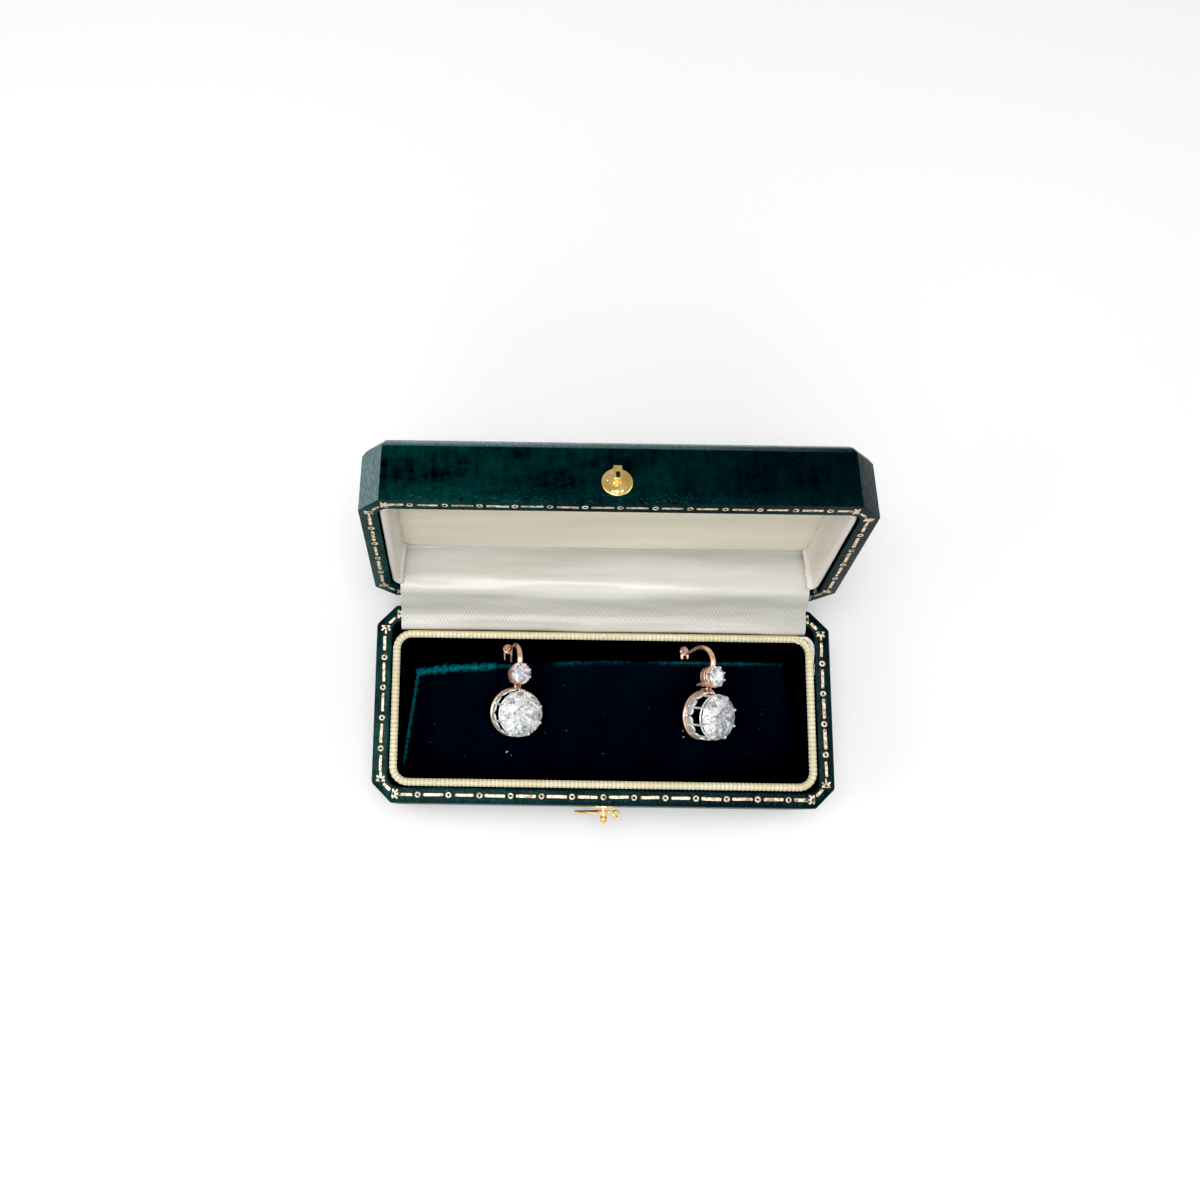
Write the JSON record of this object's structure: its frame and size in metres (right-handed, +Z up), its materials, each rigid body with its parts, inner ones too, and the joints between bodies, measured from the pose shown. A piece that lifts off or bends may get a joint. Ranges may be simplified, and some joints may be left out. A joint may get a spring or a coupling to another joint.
{
  "type": "pair of leverback earrings in hinged jewel box",
  "caption": "Drop earrings with lever-back hooks and claw-set old-cut stones, lying on the velvet pad of a hinged, cut-corner leather jewel box with its lid open.",
  "frame": {"origin": "centre of the base's underside", "axes": "+Z up, +X to the right seen from the front, +Y from the front with the catch to the back with the hinges"},
  "size_m": [0.08, 0.0577, 0.0537],
  "materials": {
    "leather": "dark bottle-green grained leather, cream-gold tooling on the rims",
    "velvet": "near-black blue-green velvet",
    "ivory_satin": "ivory twill satin",
    "cream_cord": "ribbed cream cord",
    "brass": "polished yellow brass",
    "rose_gold": "polished rose gold",
    "white_metal": "polished platinum or silver",
    "diamond": "bright colourless old-cut diamond"
  },
  "bodies": {
    "base": {"base_sole": "leather", "base_case": "leather", "well_liner": "velvet", "base_piping": "cream_cord", "velvet_pad": "velvet", "satin_hinge_cover": "ivory_satin", "base_catch_plate": "brass", "catch_stud": "brass", "left_hinge_base_leaf": "brass", "left_hinge_pin": "brass", "right_hinge_base_leaf": "brass", "right_hinge_pin": "brass", "left_ear_hook": "rose_gold", "left_lever_pin": "rose_gold", "left_top_stone": "diamond", "left_drop_link": "rose_gold", "left_main_setting": "white_metal", "left_back_ring": "rose_gold", "left_main_stone": "diamond", "right_ear_hook": "rose_gold", "right_lever_pin": "rose_gold", "right_top_stone": "diamond", "right_drop_link": "rose_gold", "right_main_setting": "white_metal", "right_back_ring": "rose_gold", "right_main_stone": "diamond"},
    "lid": {"lid_case": "leather", "lid_lining": "ivory_satin", "lid_ceiling_pad": "ivory_satin", "lid_catch": "brass", "left_hinge_lid_leaf": "brass", "right_hinge_lid_leaf": "brass"},
    "catch_hook": {"catch_hook": "brass"},
    "left_lever": {"left_lever": "rose_gold"},
    "right_lever": {"right_lever": "rose_gold"}
  },
  "joints": [
    {"name": "lid_hinge", "type": "hinge", "parent": "base", "child": "lid", "pos_m": [0, 0.01845, 0.0181], "axis": [1, 0, 0], "range_deg": [0, 103.9], "deforming": ["satin_hinge_cover"]},
    {"name": "catch_pivot", "type": "hinge", "parent": "base", "child": "catch_hook", "pos_m": [0.0003, -0.01825, 0.01445], "axis": [0, 1, 0], "range_deg": [-29, 151]},
    {"name": "left_lever_pivot", "type": "hinge", "parent": "base", "child": "left_lever", "pos_m": [-0.01524, 0.00428, 0.01631], "axis": [-0.9537, -0.0155, 0.3003], "range_deg": [0, 35]},
    {"name": "right_lever_pivot", "type": "hinge", "parent": "base", "child": "right_lever", "pos_m": [0.01802, 0.00412, 0.01733], "axis": [-0.8281, -0.0475, 0.5586], "range_deg": [0, 35]}
  ]
}
